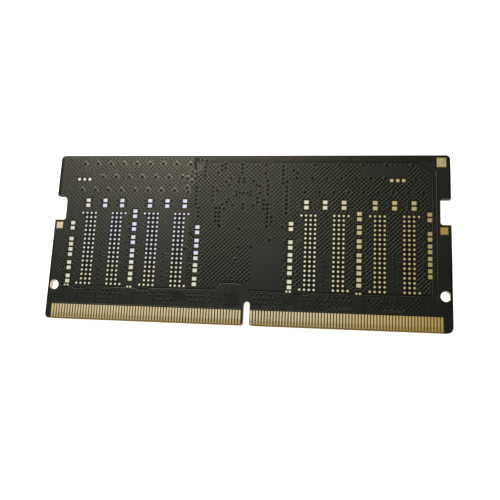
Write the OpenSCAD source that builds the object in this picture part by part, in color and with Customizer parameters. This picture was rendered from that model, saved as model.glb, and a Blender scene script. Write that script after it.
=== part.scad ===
// Laptop memory module: a plug-in circuit board that lies on its four memory
// chips. Its side with empty lands faces up and its contact edge faces -Y.
// The origin is below the board's centre, on the plane of the chips' outer faces.
// Sizes named _y are measured from the contact edge, unless their note says otherwise.

/* [Board] */
// Length of the board along X
board_l = 69.6; // [68:0.1:74]
// Width of the board, from the contact edge to the top edge
board_w = 30; // [30:0.1:34]
// Thickness of the glass-fibre laminate
core_t = 1.1; // [0.8:0.05:1.6]
// Thickness of the copper in lands and contacts
copper_t = 0.04; // [0.02:0.01:0.08]
// Height of the solder mask's surface above the lands
mask_rise = 0.01; // [0.005:0.005:0.015]
// Radius of the left corner at the contact edge
low_left_r = 0.75; // [0.3:0.05:1]
// Radius of the right corner at the contact edge
low_right_r = 1; // [0.3:0.05:1.2]
// Radius of the left corner at the top edge
top_left_r = 0.7; // [0.3:0.05:1.5]
// Radius of the right corner at the top edge
top_right_r = 0.75; // [0.3:0.05:1]

/* [Side holes] */
// Diameter of the hole near each end
hole_d = 1.7; // [1:0.05:1.8]
// Distance of each hole's centre from the board's end
hole_inset = 1.1; // [1:0.05:1.4]
// Height of the holes above the contact edge
hole_y = 5.95; // [5:0.05:7]

/* [Latch notches] */
// Height of the notches' lower side above the contact edge
latch_y = 17.85; // [17.8:0.05:19]
// Width of each notch along the board's end
latch_w = 4.5; // [3:0.1:5]
// Depth of the left notch
latch_left_d = 1.95; // [1.2:0.05:2.2]
// Depth of the right notch
latch_right_d = 1.75; // [1.2:0.05:2]
// Radius of the left notch's upper inner corner
latch_large_r = 1.1; // [0.3:0.05:1.15]
// Radius of the notches' other inner corners
latch_small_r = 0.45; // [0.2:0.05:1]

/* [Key notch] */
// Distance of the key notch's centre from the board's centre
key_x = 1.12; // [0.5:0.02:2]
// Width of the key notch
key_w = 1.15; // [1:0.05:1.25]
// Depth of the key notch, to the top of its round end
key_d = 4.1; // [3:0.1:4.5]
// Radius of the two corners at the notch's mouth
key_mouth_r = 0.4; // [0.1:0.05:0.5]

/* [Contacts] */
// Distance between neighbouring contacts
contact_pitch = 0.5; // [0.45:0.01:0.52]
// Width of a contact
contact_w = 0.35; // [0.2:0.01:0.38]
// Length of a contact with its round end
contact_l = 2.45; // [2:0.05:2.6]
// Bare strip between the contacts and the board's edge
contact_inset = 0.25; // [0.1:0.05:0.4]
// Distance of the nearest contact on the left from the key notch's centre
key_contact_left = 1.12; // [1:0.02:1.2]
// Distance of the nearest contact on the right from the key notch's centre
key_contact_right = 0.88; // [0.86:0.02:1]
// Least distance of the outermost left contact's centre from the board's left end
contact_left_end = 1.3; // [1.2:0.05:1.6]
// Least distance of the outermost right contact's centre from the board's right end
contact_right_end = 1.8; // [1.5:0.05:2]
// Bare strip between the contacts and the mask round them
contact_mask_gap = 0.15; // [0.05:0.05:0.2]

/* [Memory chips] */
// Width of a chip along X
chip_w = 10; // [9:0.1:10.4]
// Length of a chip along Y
chip_l = 14; // [13.6:0.1:14.2]
// Thickness of a chip's moulded body
mould_t = 0.6; // [0.5:0.05:0.9]
// Thickness of a chip's carrier plate
carrier_t = 0.22; // [0.15:0.01:0.3]
// Distance of the two outer chips' centres from the board's ends
chip_end_x = 9.23; // [9.2:0.01:9.4]
// Distance between the centres of the two chips on each side of the middle
chip_pitch = 11.61; // [11.5:0.01:11.8]
// Height of the chips' centres above the contact edge
chip_y = 12.77; // [12.7:0.01:12.9]
// Diameter of the round mark in a chip's corner
chip_mark_d = 0.8; // [0.4:0.1:1.2]
// Depth of the round mark
chip_mark_t = 0.04; // [0.02:0.01:0.1]
// Distance of the round mark's centre from both sides of the chip
chip_mark_inset = 0.9; // [0.7:0.1:1.5]

/* [Chip lands and balls] */
// Distance between neighbouring balls
ball_pitch = 0.8; // [0.75:0.01:0.81]
// Number of ball rows under a chip
ball_rows = 17; // [9:2:17]
// Number of ball columns in each of a chip's two blocks
ball_cols = 3; // [1:1:3]
// Distance of the nearest ball column from the chip's centre line
ball_inner_x = 1.6; // [1.4:0.1:2]
// Distance of the four outer support balls from the chip's centre line
support_x = 4; // [3.95:0.05:4.4]
// Diameter of a land
land_d = 0.42; // [0.3:0.01:0.46]
// Largest diameter of a solder ball
ball_d = 0.48; // [0.47:0.01:0.6]
// Height of a soldered ball between its two lands
ball_h = 0.22; // [0.16:0.01:0.22]
// Bare gap between a land and the mask round it
land_gap = 0.05; // [0.03:0.01:0.08]

/* [Lands of small parts] */
// Width of one land of a capacitor pair
pair_w = 0.8; // [0.6:0.02:0.9]
// Length of one land of a capacitor pair
pair_l = 0.68; // [0.5:0.02:0.72]
// Distance between the two lands of a pair
pair_pitch = 0.95; // [0.9:0.01:1.05]
// Height of the head row's centre above the chips' centres
head_rise = 8.3; // [8.2:0.05:8.6]
// Distance between the capacitor places in the head row
head_pitch = 3.2; // [2.8:0.1:3.6]
// Distance of a side column from the centre of the chip beside it
side_x = 5.75; // [5.65:0.01:5.9]
// Diameter of one land of a small resistor pair
dot_d = 0.4; // [0.3:0.01:0.44]
// Distance between the two lands of a small resistor pair
dot_pitch = 0.54; // [0.52:0.01:0.6]
// Distance of the small resistor pairs to the left of the chips' centres
dot_x = 5.87; // [5.6:0.01:6]
// Distance of the small resistor pairs below the chips' centres
dot_drop = 6.82; // [6.7:0.02:7]

/* [Test, side and corner lands] */
// Diameter of a round test land
test_d = 0.6; // [0.4:0.02:0.7]
// Side of the square test land in the middle of each group
test_w = 0.56; // [0.4:0.02:0.7]
// Distance between neighbouring test lands
test_pitch = 1; // [0.95:0.05:1.2]
// Height of the test lands above the contact edge
test_y = 25.5; // [24.5:0.1:26.5]
// Distance of the left group of test lands from the board's left end
test_left_x = 4.85; // [3:0.05:6]
// Distance of the right group of test lands from the board's right end
test_right_x = 8.7; // [6:0.1:10]
// Width of a side land along X
side_land_w = 1.3; // [0.8:0.05:1.4]
// Length of a side land along Y
side_land_l = 1.3; // [0.8:0.05:1.4]
// Distance of the left side land from the board's end
side_land_left = 0.3; // [0.2:0.05:0.5]
// Distance of the right side land from the board's end
side_land_right = 0.56; // [0.4:0.02:0.7]
// Distance of the side lands' upper edges below the latch notches
side_land_drop = 0.35; // [0.25:0.05:0.6]
// Side of the square corner land
corner_land_w = 1.6; // [1:0.1:1.8]
// Distance of the corner land from the board's right end
corner_land_x = 0.7; // [0.5:0.05:1]
// Distance of the corner land from the board's top edge
corner_land_y = 0.52; // [0.4:0.02:1]
// Width of the strip at the corner land's right side, which runs on as a tab
corner_strip_w = 0.38; // [0.2:0.02:0.6]
// Width of the slit between the corner land and its strip
corner_slit_w = 0.05; // [0.03:0.01:0.1]
// Length of the slit, from the land's upper side
corner_slit_l = 1.3; // [0.4:0.05:1.4]
// Length of the tab above the corner land
corner_tab_l = 0.12; // [0.04:0.02:0.2]

/* [Power and hub parts] */
// Width of the power chip along X
power_w = 4; // [3.6:0.1:4.2]
// Length of the power chip along Y
power_l = 3; // [2.6:0.1:3.2]
// Height of the power chip's body
power_h = 0.75; // [0.5:0.05:0.8]
// Distance of the power chip's centre to the left of the board's centre
power_x = 0.3; // [0:0.1:0.6]
// Height of the power chip's centre above the contact edge
power_y = 24.2; // [24:0.1:24.6]
// Width of the hub chip along X
hub_w = 3; // [2.6:0.1:3.2]
// Length of the hub chip along Y
hub_l = 2; // [1.8:0.1:2.2]
// Height of the hub chip's body
hub_h = 0.6; // [0.5:0.05:0.8]
// Distance of the hub chip's centre to the right of the board's centre
hub_x = 0.2; // [0:0.1:0.8]
// Height of the hub chip's centre above the contact edge
hub_y = 17.5; // [17:0.1:18]
// Distance between neighbouring terminals of the power and hub chips
lead_pitch = 0.5; // [0.45:0.01:0.55]
// Width of one terminal
lead_w = 0.26; // [0.18:0.01:0.3]
// Length of one terminal
lead_l = 0.45; // [0.3:0.05:0.5]
// Length of a terminal that shows beside its chip
lead_reach = 0.12; // [0.06:0.02:0.2]
// Thickness of one terminal
lead_t = 0.15; // [0.1:0.01:0.2]
// Gap between the mask and the body of the power or hub chip
lead_lift = 0.03; // [0.02:0.01:0.06]
// Height of the middle of the parts round the power chip above its centre
power_part_rise = 0.5; // [0.3:0.05:0.6]
// Gap between the power chip's body and the large capacitors beside it
bulk_gap = 0.6; // [0.5:0.05:0.8]
// Gap between neighbouring large capacitors in a column
bulk_space = 0.9; // [0.5:0.05:1]
// Gap between those columns and the inductors
coil_gap = 0.8; // [0.6:0.05:1]
// Gap between the two inductors in a column
coil_space = 1.35; // [1.2:0.05:1.4]
// Width of an inductor along X
coil_w = 2.5; // [2:0.1:2.6]
// Length of an inductor along Y
coil_l = 2; // [1.8:0.1:2.2]
// Height of an inductor's block
coil_h = 0.85; // [0.6:0.05:0.9]
// Width of the metal shoe under each end of an inductor
shoe_w = 0.6; // [0.4:0.05:0.8]
// Thickness of an inductor's shoes
shoe_t = 0.08; // [0.05:0.01:0.12]

/* [Small parts] */
// Length of a capacitor
cap_l = 1; // [0.9:0.02:1.1]
// Width of a capacitor
cap_w = 0.5; // [0.4:0.02:0.6]
// Height of a capacitor
cap_h = 0.5; // [0.3:0.02:0.6]
// Length of a large capacitor
bulk_l = 1.6; // [1.4:0.1:1.8]
// Width of a large capacitor
bulk_w = 0.8; // [0.6:0.05:0.9]
// Height of a large capacitor
bulk_h = 0.8; // [0.5:0.05:0.8]
// Length of a small resistor
chip_res_l = 0.6; // [0.56:0.02:0.7]
// Width of a small resistor
chip_res_w = 0.3; // [0.2:0.02:0.34]
// Height of a small resistor
chip_res_h = 0.24; // [0.16:0.02:0.3]
// Length of a resistor array along X
array_l = 2; // [1.9:0.05:2.1]
// Width of a resistor array along Y
array_w = 1; // [0.9:0.05:1.05]
// Height of a resistor array
array_h = 0.4; // [0.3:0.05:0.5]
// Height of the arrays' centres above the contact edge
array_y = 4.35; // [4.3:0.05:4.4]
// Distance between neighbouring arrays
array_pitch = 2.4; // [2.3:0.05:2.6]
// Share of each small part's length that a metal end covers
end_share = 0.24; // [0.15:0.01:0.3]
// Thickness of the metal on a small part's end
end_t = 0.02; // [0.02:0.005:0.03]

/* [Hidden] */
$fn = 48;
CHIPS = [1, 2, 3, 4];

// Heights, upwards from the plane of the chips' outer faces
carrier_z = mould_t;
ball_z = carrier_z + carrier_t;
land_z = ball_z + ball_h;
core_z = land_z + copper_t;
top_z = core_z + core_t;
mask_t = copper_t + mask_rise;
// How far a cut runs past the face or edge that it opens
past = 1;

// Edges of the board seen from above
left = -board_l / 2;
right = board_l / 2;
low = -board_w / 2;
high = board_w / 2;
side_land_y = low + latch_y - side_land_drop - side_land_l;
corner_land_right = right - corner_land_x;
corner_land_high = high - corner_land_y;

// Centres of the four chips, from left to right
chip_xs = [left + chip_end_x, left + chip_end_x + chip_pitch,
           right - chip_end_x - chip_pitch, right - chip_end_x];
chip_cy = low + chip_y;

// Capacitor places: three above each chip, and columns beside the chips whose
// heights are taken from the chips' centres
outer_left_ys = [4.05, 1.1, -0.8, -3.2, -5.6];
middle_ys = [6.35, 4, 1.6, -0.8, -2.9, -4.95];
inner_left_ys = [3.6, 1.2, -1, -3.15, -5.55];
inner_right_ys = [4.45, 1.2, -1, -3.2, -5.6];
outer_right_ys = [6.35, 3.05, 0.95, -1.15, -3.2];
function column(x, ys) = [for (y = ys) [x, chip_cy + y]];
cap_places = concat(
    [for (x = chip_xs, k = [-1 : 1]) [x + k * head_pitch, chip_cy + head_rise]],
    column(chip_xs[0] - side_x, outer_left_ys),
    column(chip_xs[0] + chip_pitch / 2, middle_ys),
    column(chip_xs[1] + side_x, inner_left_ys),
    column(chip_xs[2] - side_x, inner_right_ys),
    column(chip_xs[2] + chip_pitch / 2, middle_ys),
    column(chip_xs[3] + side_x, outer_right_ys));
dot_places = [for (x = chip_xs) [x - dot_x, chip_cy - dot_drop]];

// Parts round the power chip: a column of three large capacitors on each side,
// then two inductors on the right, and an inductor below two capacitors on the left
power_c = [-power_x, low + power_y];
hub_c = [hub_x, low + hub_y];
bulk_pitch = bulk_w + bulk_space;
bulk_x = (power_w + bulk_l) / 2 + bulk_gap;
coil_x = bulk_x + (bulk_l + coil_w) / 2 + coil_gap;
coil_low = power_part_rise - (coil_l + coil_space) / 2;
coil_high = power_part_rise + (coil_l + coil_space) / 2;
coil_places = [for (p = [[-coil_x, coil_low], [coil_x, coil_low], [coil_x, coil_high]]) power_c + p];
bulk_places = concat(
    [for (s = [-1, 1], k = [-1 : 1]) power_c + [s * bulk_x, power_part_rise + k * bulk_pitch]],
    [for (s = [-1, 1]) power_c + [-coil_x, coil_high + s * bulk_pitch / 2]]);

// Resistor arrays below the chips, four to each chip, each with four pairs of ends
array_xs = [for (x = chip_xs, k = [-1.5 : 1 : 1.5]) x + k * array_pitch];
array_step = array_l / 4;
array_end_w = array_step * 0.6;

// Ball places of one chip: two blocks of columns and four support balls
row_top = (ball_rows - 1) / 2 * ball_pitch;
ball_places = concat(
    [for (s = [-1, 1], c = [0 : ball_cols - 1], r = [0 : ball_rows - 1])
        [s * (ball_inner_x + c * ball_pitch), r * ball_pitch - row_top]],
    [for (s = [-1, 1], t = [-1, 1]) [s * support_x, t * row_top]]);

// Contact centres, outwards from both sides of the key notch as far as the ends allow
first_left = key_x - key_contact_left;
first_right = key_x + key_contact_right;
left_contacts = floor((first_left - left - contact_left_end) / contact_pitch + 0.01);
right_contacts = floor((right - contact_right_end - first_right) / contact_pitch + 0.01);
contact_xs = concat(
    [for (k = [0 : left_contacts]) first_left - k * contact_pitch],
    [for (k = [0 : right_contacts]) first_right + k * contact_pitch]);

// What a round corner of radius r takes off the corner at the origin
module corner_cut(r) {
    difference() {
        translate([-past, -past]) square(r + past);
        translate([r, r]) circle(r);
    }
}

// Notch cut from the left end at x = 0, with its lower side at y = 0
module latch_cut(d, low_r, high_r) {
    difference() {
        translate([-past, 0]) square([d + past, latch_w]);
        translate([d, 0]) mirror([1, 0]) corner_cut(low_r);
        translate([d, latch_w]) mirror([1, 0]) mirror([0, 1]) corner_cut(high_r);
    }
}

// Key notch cut from the contact edge at y = 0, with its centre line at x = 0
module key_cut() {
    translate([-key_w / 2, -past]) square([key_w, key_d - key_w / 2 + past]);
    translate([0, key_d - key_w / 2]) circle(d = key_w);
    for (s = [0, 1]) mirror([s, 0]) translate([key_w / 2, 0]) corner_cut(key_mouth_r);
}

// Outline of the board, with its round corners, notches and side holes
module board_outline() {
    difference() {
        translate([left, low]) square([board_l, board_w]);
        translate([left, low]) corner_cut(low_left_r);
        translate([right, low]) mirror([1, 0]) corner_cut(low_right_r);
        translate([left, high]) mirror([0, 1]) corner_cut(top_left_r);
        translate([right, high]) mirror([1, 0]) mirror([0, 1]) corner_cut(top_right_r);
        translate([left, low + latch_y]) latch_cut(latch_left_d, latch_small_r, latch_large_r);
        translate([right, low + latch_y]) mirror([1, 0])
            latch_cut(latch_right_d, latch_small_r, latch_small_r);
        translate([key_x, low]) key_cut();
        for (x = [left + hole_inset, right - hole_inset])
            translate([x, low + hole_y]) circle(d = hole_d);
    }
}

// Sheet of thickness t on the laminate's upper or lower face, from a 2D shape
module on_face(upper, t) {
    translate([0, 0, upper ? top_z : core_z - t]) linear_extrude(t) children();
}

// The two lands of every capacitor place, grown by a gap on all sides
module pair_shapes(gap) {
    for (p = cap_places, s = [-1, 1]) translate(p + [0, s * pair_pitch / 2])
        square([pair_w + 2 * gap, pair_l + 2 * gap], center = true);
}

module dot_shapes(gap) {
    for (p = dot_places, s = [-1, 1]) translate(p + [s * dot_pitch / 2, 0])
        circle(d = dot_d + 2 * gap);
}

module ball_land_shapes(gap) {
    for (x = chip_xs, b = ball_places) translate([x, chip_cy] + b) circle(d = land_d + 2 * gap);
}

// Two groups of a square land between two round ones
module test_shapes(gap) {
    for (x = [left + test_left_x, right - test_right_x]) translate([x, low + test_y]) {
        square(test_w + 2 * gap, center = true);
        for (s = [-1, 1]) translate([s * test_pitch, 0]) circle(d = test_d + 2 * gap);
    }
}

module side_shapes(gap) {
    for (x = [left + side_land_left, right - side_land_right - side_land_w])
        translate([x - gap, side_land_y - gap])
            square([side_land_w + 2 * gap, side_land_l + 2 * gap]);
}

// Square land in the corner, with a tab on the strip along its right side
module corner_shape(gap) {
    translate([corner_land_right - corner_land_w - gap, corner_land_high - corner_land_w - gap])
        square(corner_land_w + 2 * gap);
    translate([corner_land_right - corner_strip_w - gap, corner_land_high - corner_strip_w])
        square([corner_strip_w + 2 * gap, corner_strip_w + corner_tab_l + gap]);
}

// The corner land itself, slit along its strip
module corner_land_shape() {
    difference() {
        corner_shape(0);
        translate([corner_land_right - corner_strip_w - corner_slit_w, corner_land_high - corner_slit_l])
            square([corner_slit_w, corner_slit_l + past]);
    }
}

// Lands of the power chip, the hub chip, the inductors, the large capacitors
// and the resistor arrays, all on the lower face
module part_land_shapes(gap) {
    lead_row_shapes(power_c, power_w, power_l, gap);
    lead_row_shapes(hub_c, hub_w, hub_l, gap);
    for (p = coil_places, s = [-1, 1]) translate(p + [s * (coil_w - shoe_w) / 2, 0])
        square([shoe_w + 2 * gap, coil_l + 2 * gap], center = true);
    for (p = bulk_places, s = [-1, 1]) translate(p + [s * bulk_l / 2, 0])
        square([bulk_l * 2 * end_share + 2 * gap, bulk_w + 2 * gap], center = true);
    for (x = array_xs, k = [-1.5 : 1 : 1.5], s = [-1, 1])
        translate([x + k * array_step, low + array_y + s * array_w / 2])
            square([array_end_w + 2 * gap, array_w * 2 * end_share + 2 * gap], center = true);
}

// Terminals in two rows, above and below a chip body
module lead_row_shapes(c, w, l, gap) {
    n = floor((w - lead_w) / lead_pitch);
    for (k = [0 : n], s = [-1, 1])
        translate(c + [(k - n / 2) * lead_pitch, s * (l / 2 + lead_reach - lead_l / 2)])
            square([lead_w + 2 * gap, lead_l + 2 * gap], center = true);
}

module circuit_board() {
    color([0.45, 0.33, 0.16]) translate([0, 0, core_z]) linear_extrude(core_t) board_outline();
}

// The mask leaves the strip with the contacts bare, and covers both lower corners
module mask_outline() {
    gap = contact_w / 2 + contact_mask_gap;
    difference() {
        board_outline();
        translate([min(contact_xs) - gap, low - past])
            square([max(contact_xs) - min(contact_xs) + 2 * gap,
                    past + contact_inset + contact_l + contact_mask_gap]);
    }
}

module upper_solder_mask() {
    color([0.1, 0.1, 0.09]) on_face(true, mask_t) difference() {
        mask_outline();
        ball_land_shapes(land_gap);
        pair_shapes(land_gap);
        dot_shapes(land_gap / 2);
        test_shapes(land_gap);
        side_shapes(land_gap);
        corner_shape(land_gap);
    }
}

module lower_solder_mask() {
    color([0.1, 0.1, 0.09]) on_face(false, mask_t) difference() {
        mask_outline();
        ball_land_shapes(land_gap);
        pair_shapes(land_gap);
        dot_shapes(land_gap / 2);
        part_land_shapes(land_gap / 2);
    }
}

// One contact from its square end at the board's edge to its round end
module contact_shape() {
    translate([-contact_w / 2, 0]) square([contact_w, contact_l - contact_w / 2]);
    translate([0, contact_l - contact_w / 2]) circle(d = contact_w);
}

module contacts(upper) {
    color([0.85, 0.7, 0.4]) on_face(upper, copper_t)
        for (x = contact_xs) translate([x, low + contact_inset]) contact_shape();
}

module gold(upper) {
    color([0.85, 0.72, 0.42]) on_face(upper, copper_t) children();
}

module chip_lands(n, upper) {
    gold(upper) translate([chip_xs[n - 1], chip_cy])
        for (b = ball_places) translate(b) circle(d = land_d);
}

// A soldered ball: a sphere with both caps cut off flat by its lands
module solder_balls(n) {
    color([0.75, 0.76, 0.78]) translate([chip_xs[n - 1], chip_cy, ball_z + ball_h / 2])
        for (b = ball_places) translate(b) rotate_extrude() intersection() {
            circle(d = ball_d);
            translate([0, -ball_h / 2]) square([ball_d, ball_h]);
        }
}

module chip_carrier(n) {
    color([0.1, 0.2, 0.12]) translate([chip_xs[n - 1] - chip_w / 2, chip_cy - chip_l / 2, carrier_z])
        cube([chip_w, chip_l, carrier_t]);
}

module memory_chip(n) {
    color([0.08, 0.08, 0.08]) translate([chip_xs[n - 1], chip_cy, 0]) difference() {
        translate([-chip_w / 2, -chip_l / 2, 0]) cube([chip_w, chip_l, mould_t]);
        translate([chip_mark_inset - chip_w / 2, chip_l / 2 - chip_mark_inset, -past])
            cylinder(d = chip_mark_d, h = past + chip_mark_t);
    }
}

// A chip body whose terminals show in its lower face and at two sides
module leaded_chip(c, w, l, h) {
    color([0.07, 0.07, 0.07]) difference() {
        translate([c.x - w / 2, c.y - l / 2, land_z - mask_rise - lead_lift - h]) cube([w, l, h]);
        translate([0, 0, land_z - lead_t]) linear_extrude(lead_t + past) lead_row_shapes(c, w, l, 0);
    }
}

module terminals(c, w, l) {
    color([0.8, 0.8, 0.78]) translate([0, 0, land_z - lead_t])
        linear_extrude(lead_t) lead_row_shapes(c, w, l, 0);
}

module power_chip() { leaded_chip(power_c, power_w, power_l, power_h); }
module power_chip_terminals() { terminals(power_c, power_w, power_l); }
module hub_chip() { leaded_chip(hub_c, hub_w, hub_l, hub_h); }
module hub_chip_terminals() { terminals(hub_c, hub_w, hub_l); }

module inductor_blocks() {
    color([0.3, 0.3, 0.31]) for (p = coil_places)
        translate([p.x - coil_w / 2, p.y - coil_l / 2, land_z - shoe_t - coil_h])
            cube([coil_w, coil_l, coil_h]);
}

module inductor_shoes() {
    color([0.8, 0.8, 0.78]) for (p = coil_places, s = [-1, 1])
        translate([p.x + s * (coil_w - shoe_w) / 2 - shoe_w / 2, p.y - coil_l / 2, land_z - shoe_t])
            cube([shoe_w, coil_l, shoe_t]);
}

// A block of a small part, centred on the origin, its soldered side at z = 0
module block(l, w, h) {
    translate([-l / 2, -w / 2, -h]) cube([l, w, h]);
}

// Ceramic body along X, inside its two metal ends
module part_body(l, w, h) {
    translate([0, 0, -end_t]) block(l - 2 * end_t, w - 2 * end_t, h - 2 * end_t);
}

// Two metal ends that wrap the body along X
module part_ends(l, w, h) {
    for (s = [-1, 1]) difference() {
        translate([s * l * (1 - end_share) / 2, 0, 0]) block(l * end_share, w, h);
        part_body(l, w, h);
    }
}

module at_caps() {
    for (p = cap_places) translate([p.x, p.y, land_z]) rotate(90) children();
}

module capacitor_bodies() { color([0.62, 0.5, 0.36]) at_caps() part_body(cap_l, cap_w, cap_h); }
module capacitor_ends() { color([0.8, 0.8, 0.79]) at_caps() part_ends(cap_l, cap_w, cap_h); }

module at_bulks() {
    for (p = bulk_places) translate([p.x, p.y, land_z]) children();
}

module large_capacitor_bodies() {
    color([0.6, 0.46, 0.32]) at_bulks() part_body(bulk_l, bulk_w, bulk_h);
}
module large_capacitor_ends() {
    color([0.8, 0.8, 0.79]) at_bulks() part_ends(bulk_l, bulk_w, bulk_h);
}

module at_dots() {
    for (p = dot_places) translate([p.x, p.y, land_z]) children();
}

module resistor_bodies() {
    color([0.1, 0.1, 0.11]) at_dots() part_body(chip_res_l, chip_res_w, chip_res_h);
}
module resistor_ends() {
    color([0.8, 0.8, 0.79]) at_dots() part_ends(chip_res_l, chip_res_w, chip_res_h);
}

module at_arrays() {
    for (x = array_xs) translate([x, low + array_y, land_z]) children();
}

module resistor_array_bodies() {
    color([0.1, 0.1, 0.11]) at_arrays() part_body(array_l, array_w, array_h);
}

// Four pairs of metal ends on each array's long sides
module resistor_array_ends() {
    color([0.8, 0.8, 0.79]) at_arrays() for (k = [-1.5 : 1 : 1.5], s = [-1, 1]) difference() {
        translate([k * array_step, s * array_w * (1 - end_share) / 2, 0])
            block(array_end_w, array_w * end_share, array_h);
        part_body(array_l, array_w, array_h);
    }
}

module lower_part_lands() {
    gold(false) part_land_shapes(0);
}

circuit_board();
upper_solder_mask();
lower_solder_mask();
contacts(true);  // upper_contacts
contacts(false);  // lower_contacts
gold(true) pair_shapes(0);  // upper_capacitor_lands
gold(false) pair_shapes(0);  // lower_capacitor_lands
gold(true) dot_shapes(0);  // upper_resistor_lands
gold(false) dot_shapes(0);  // lower_resistor_lands
gold(true) test_shapes(0);  // test_lands
gold(true) side_shapes(0);  // side_lands
gold(true) corner_land_shape();  // corner_land
lower_part_lands();
power_chip();
power_chip_terminals();
hub_chip();
hub_chip_terminals();
inductor_blocks();
inductor_shoes();
capacitor_bodies();
capacitor_ends();
large_capacitor_bodies();
large_capacitor_ends();
resistor_bodies();
resistor_ends();
resistor_array_bodies();
resistor_array_ends();
for (n = CHIPS) {
    chip_lands(n, true);
    chip_lands(n, false);
    solder_balls(n);
    chip_carrier(n);
    memory_chip(n);
}
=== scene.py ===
import math

import bmesh
import bpy
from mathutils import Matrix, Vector


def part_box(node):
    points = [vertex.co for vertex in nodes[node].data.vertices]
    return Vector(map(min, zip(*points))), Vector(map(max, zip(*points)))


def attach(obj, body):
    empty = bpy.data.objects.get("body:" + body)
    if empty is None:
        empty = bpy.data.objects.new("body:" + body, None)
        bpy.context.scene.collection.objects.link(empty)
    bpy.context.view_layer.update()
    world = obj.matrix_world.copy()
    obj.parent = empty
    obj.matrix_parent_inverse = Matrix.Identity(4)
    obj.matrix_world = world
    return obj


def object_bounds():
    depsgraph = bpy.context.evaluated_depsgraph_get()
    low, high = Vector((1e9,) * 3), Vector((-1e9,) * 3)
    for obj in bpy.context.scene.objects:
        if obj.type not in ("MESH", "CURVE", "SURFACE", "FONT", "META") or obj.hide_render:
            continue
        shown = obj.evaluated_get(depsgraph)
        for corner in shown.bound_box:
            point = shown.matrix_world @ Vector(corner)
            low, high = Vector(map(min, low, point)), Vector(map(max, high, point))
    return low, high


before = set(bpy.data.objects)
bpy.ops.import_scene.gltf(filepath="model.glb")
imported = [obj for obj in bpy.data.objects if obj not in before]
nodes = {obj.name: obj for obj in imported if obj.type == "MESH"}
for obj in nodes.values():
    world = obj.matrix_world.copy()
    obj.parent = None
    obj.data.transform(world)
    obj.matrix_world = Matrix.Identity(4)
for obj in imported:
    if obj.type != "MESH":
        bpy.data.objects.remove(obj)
cad_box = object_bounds()

# Camera. The photograph looks down on the board from a hand's breadth above it,
# a little to the right of its middle and turned a little, with an ordinary lens.
MM = 0.001
camera = bpy.data.objects.new("camera", bpy.data.cameras.new("camera"))
camera.data.sensor_width = 36
camera.data.lens = 39.42
camera.data.clip_start = MM
camera.location = Vector((14.06, -18.575, 94.19)) * MM
camera.rotation_euler = [math.radians(turn) for turn in (10.427, 7.419, 2.603)]
bpy.context.scene.collection.objects.link(camera)
bpy.context.scene.camera = camera

# Studio. The face is half glossy, so each soft lamp is placed by the stretch of the board in
# which the camera sees it mirrored: a blue window with two dim curtains round it, and a warm
# panel past the board's top edge. A pale yellow room and a glowing white floor do the rest.
FLOOR_SIDE = 3.0
FLOOR_GLOW = 0.85
ROOM_COLOUR = (0.98, 1.0, 0.68)
ROOM_STRENGTH = 0.389
bpy.context.scene.view_settings.view_transform = "Standard"
board_low, board_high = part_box("circuit_board")
upper_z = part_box("upper_solder_mask")[1].z


def seat(x, y, z):
    """A point given in millimetres from the board's left end and contact edge."""
    return Vector((board_low.x + x * MM, board_low.y + y * MM, z))


def lamp(name, height, low, high, radiance, colour):
    """A soft lamp that the camera sees mirrored in the board between two places, in millimetres."""
    scale = (camera.location.z - upper_z + height) / (camera.location.z - upper_z)
    corners = [camera.location + (seat(*place, upper_z) - camera.location) * scale
               for place in (low, high)]
    light = bpy.data.lights.new(name, "AREA")
    light.shape = "RECTANGLE"
    light.size = corners[1].x - corners[0].x
    light.size_y = corners[1].y - corners[0].y
    light.energy = radiance * math.pi * light.size * light.size_y
    light.color = colour
    thing = bpy.data.objects.new(name, light)
    thing.location = (corners[0] + corners[1]) / 2
    thing.location.z = upper_z + height
    bpy.context.scene.collection.objects.link(thing)


lamp("window", height=0.40, low=(5.5, 11), high=(29, 27), radiance=1.15, colour=(0.0, 0.0, 1.0))
lamp("inner_curtain", height=0.41, low=(-6, 2), high=(52, 40), radiance=0.843, colour=(0.22, 0.43, 1.0))
lamp("outer_curtain", height=0.42, low=(-12, 0), high=(64, 48), radiance=0.460, colour=(0.385, 0.51, 1.0))
lamp("panel", height=0.39, low=(-1, 33), high=(41, 43), radiance=68.0, colour=(1.0, 0.78, 0.66))

world = bpy.data.worlds.new("room")
world.use_nodes = True
world.node_tree.nodes["Background"].inputs["Color"].default_value = (*ROOM_COLOUR, 1)
world.node_tree.nodes["Background"].inputs["Strength"].default_value = ROOM_STRENGTH
bpy.context.scene.world = world

floor_mesh = bpy.data.meshes.new("floor")
half_floor = FLOOR_SIDE / 2
floor_mesh.from_pydata(
    [(x * half_floor, y * half_floor, cad_box[0].z) for x, y in ((-1, -1), (1, -1), (1, 1), (-1, 1))],
    [], [(0, 1, 2, 3)])
floor = bpy.data.objects.new("floor", floor_mesh)
bpy.context.scene.collection.objects.link(floor)
floor_paint = bpy.data.materials.new("floor_paint")
floor_paint.use_nodes = True
paint = floor_paint.node_tree.nodes["Principled BSDF"]
paint.inputs["Base Color"].default_value = (0.85, 0.85, 0.85, 1)
paint.inputs["Roughness"].default_value = 0.9
paint.inputs["Emission Color"].default_value = (1, 1, 1, 1)
paint.inputs["Emission Strength"].default_value = FLOOR_GLOW
floor_mesh.materials.append(floor_paint)

# Circuit board. Glass-fibre laminate, pressed from eight sheets and routed to its
# outline, so the cut edge shows the sheets and the bare face shows the glass weave.


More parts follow.
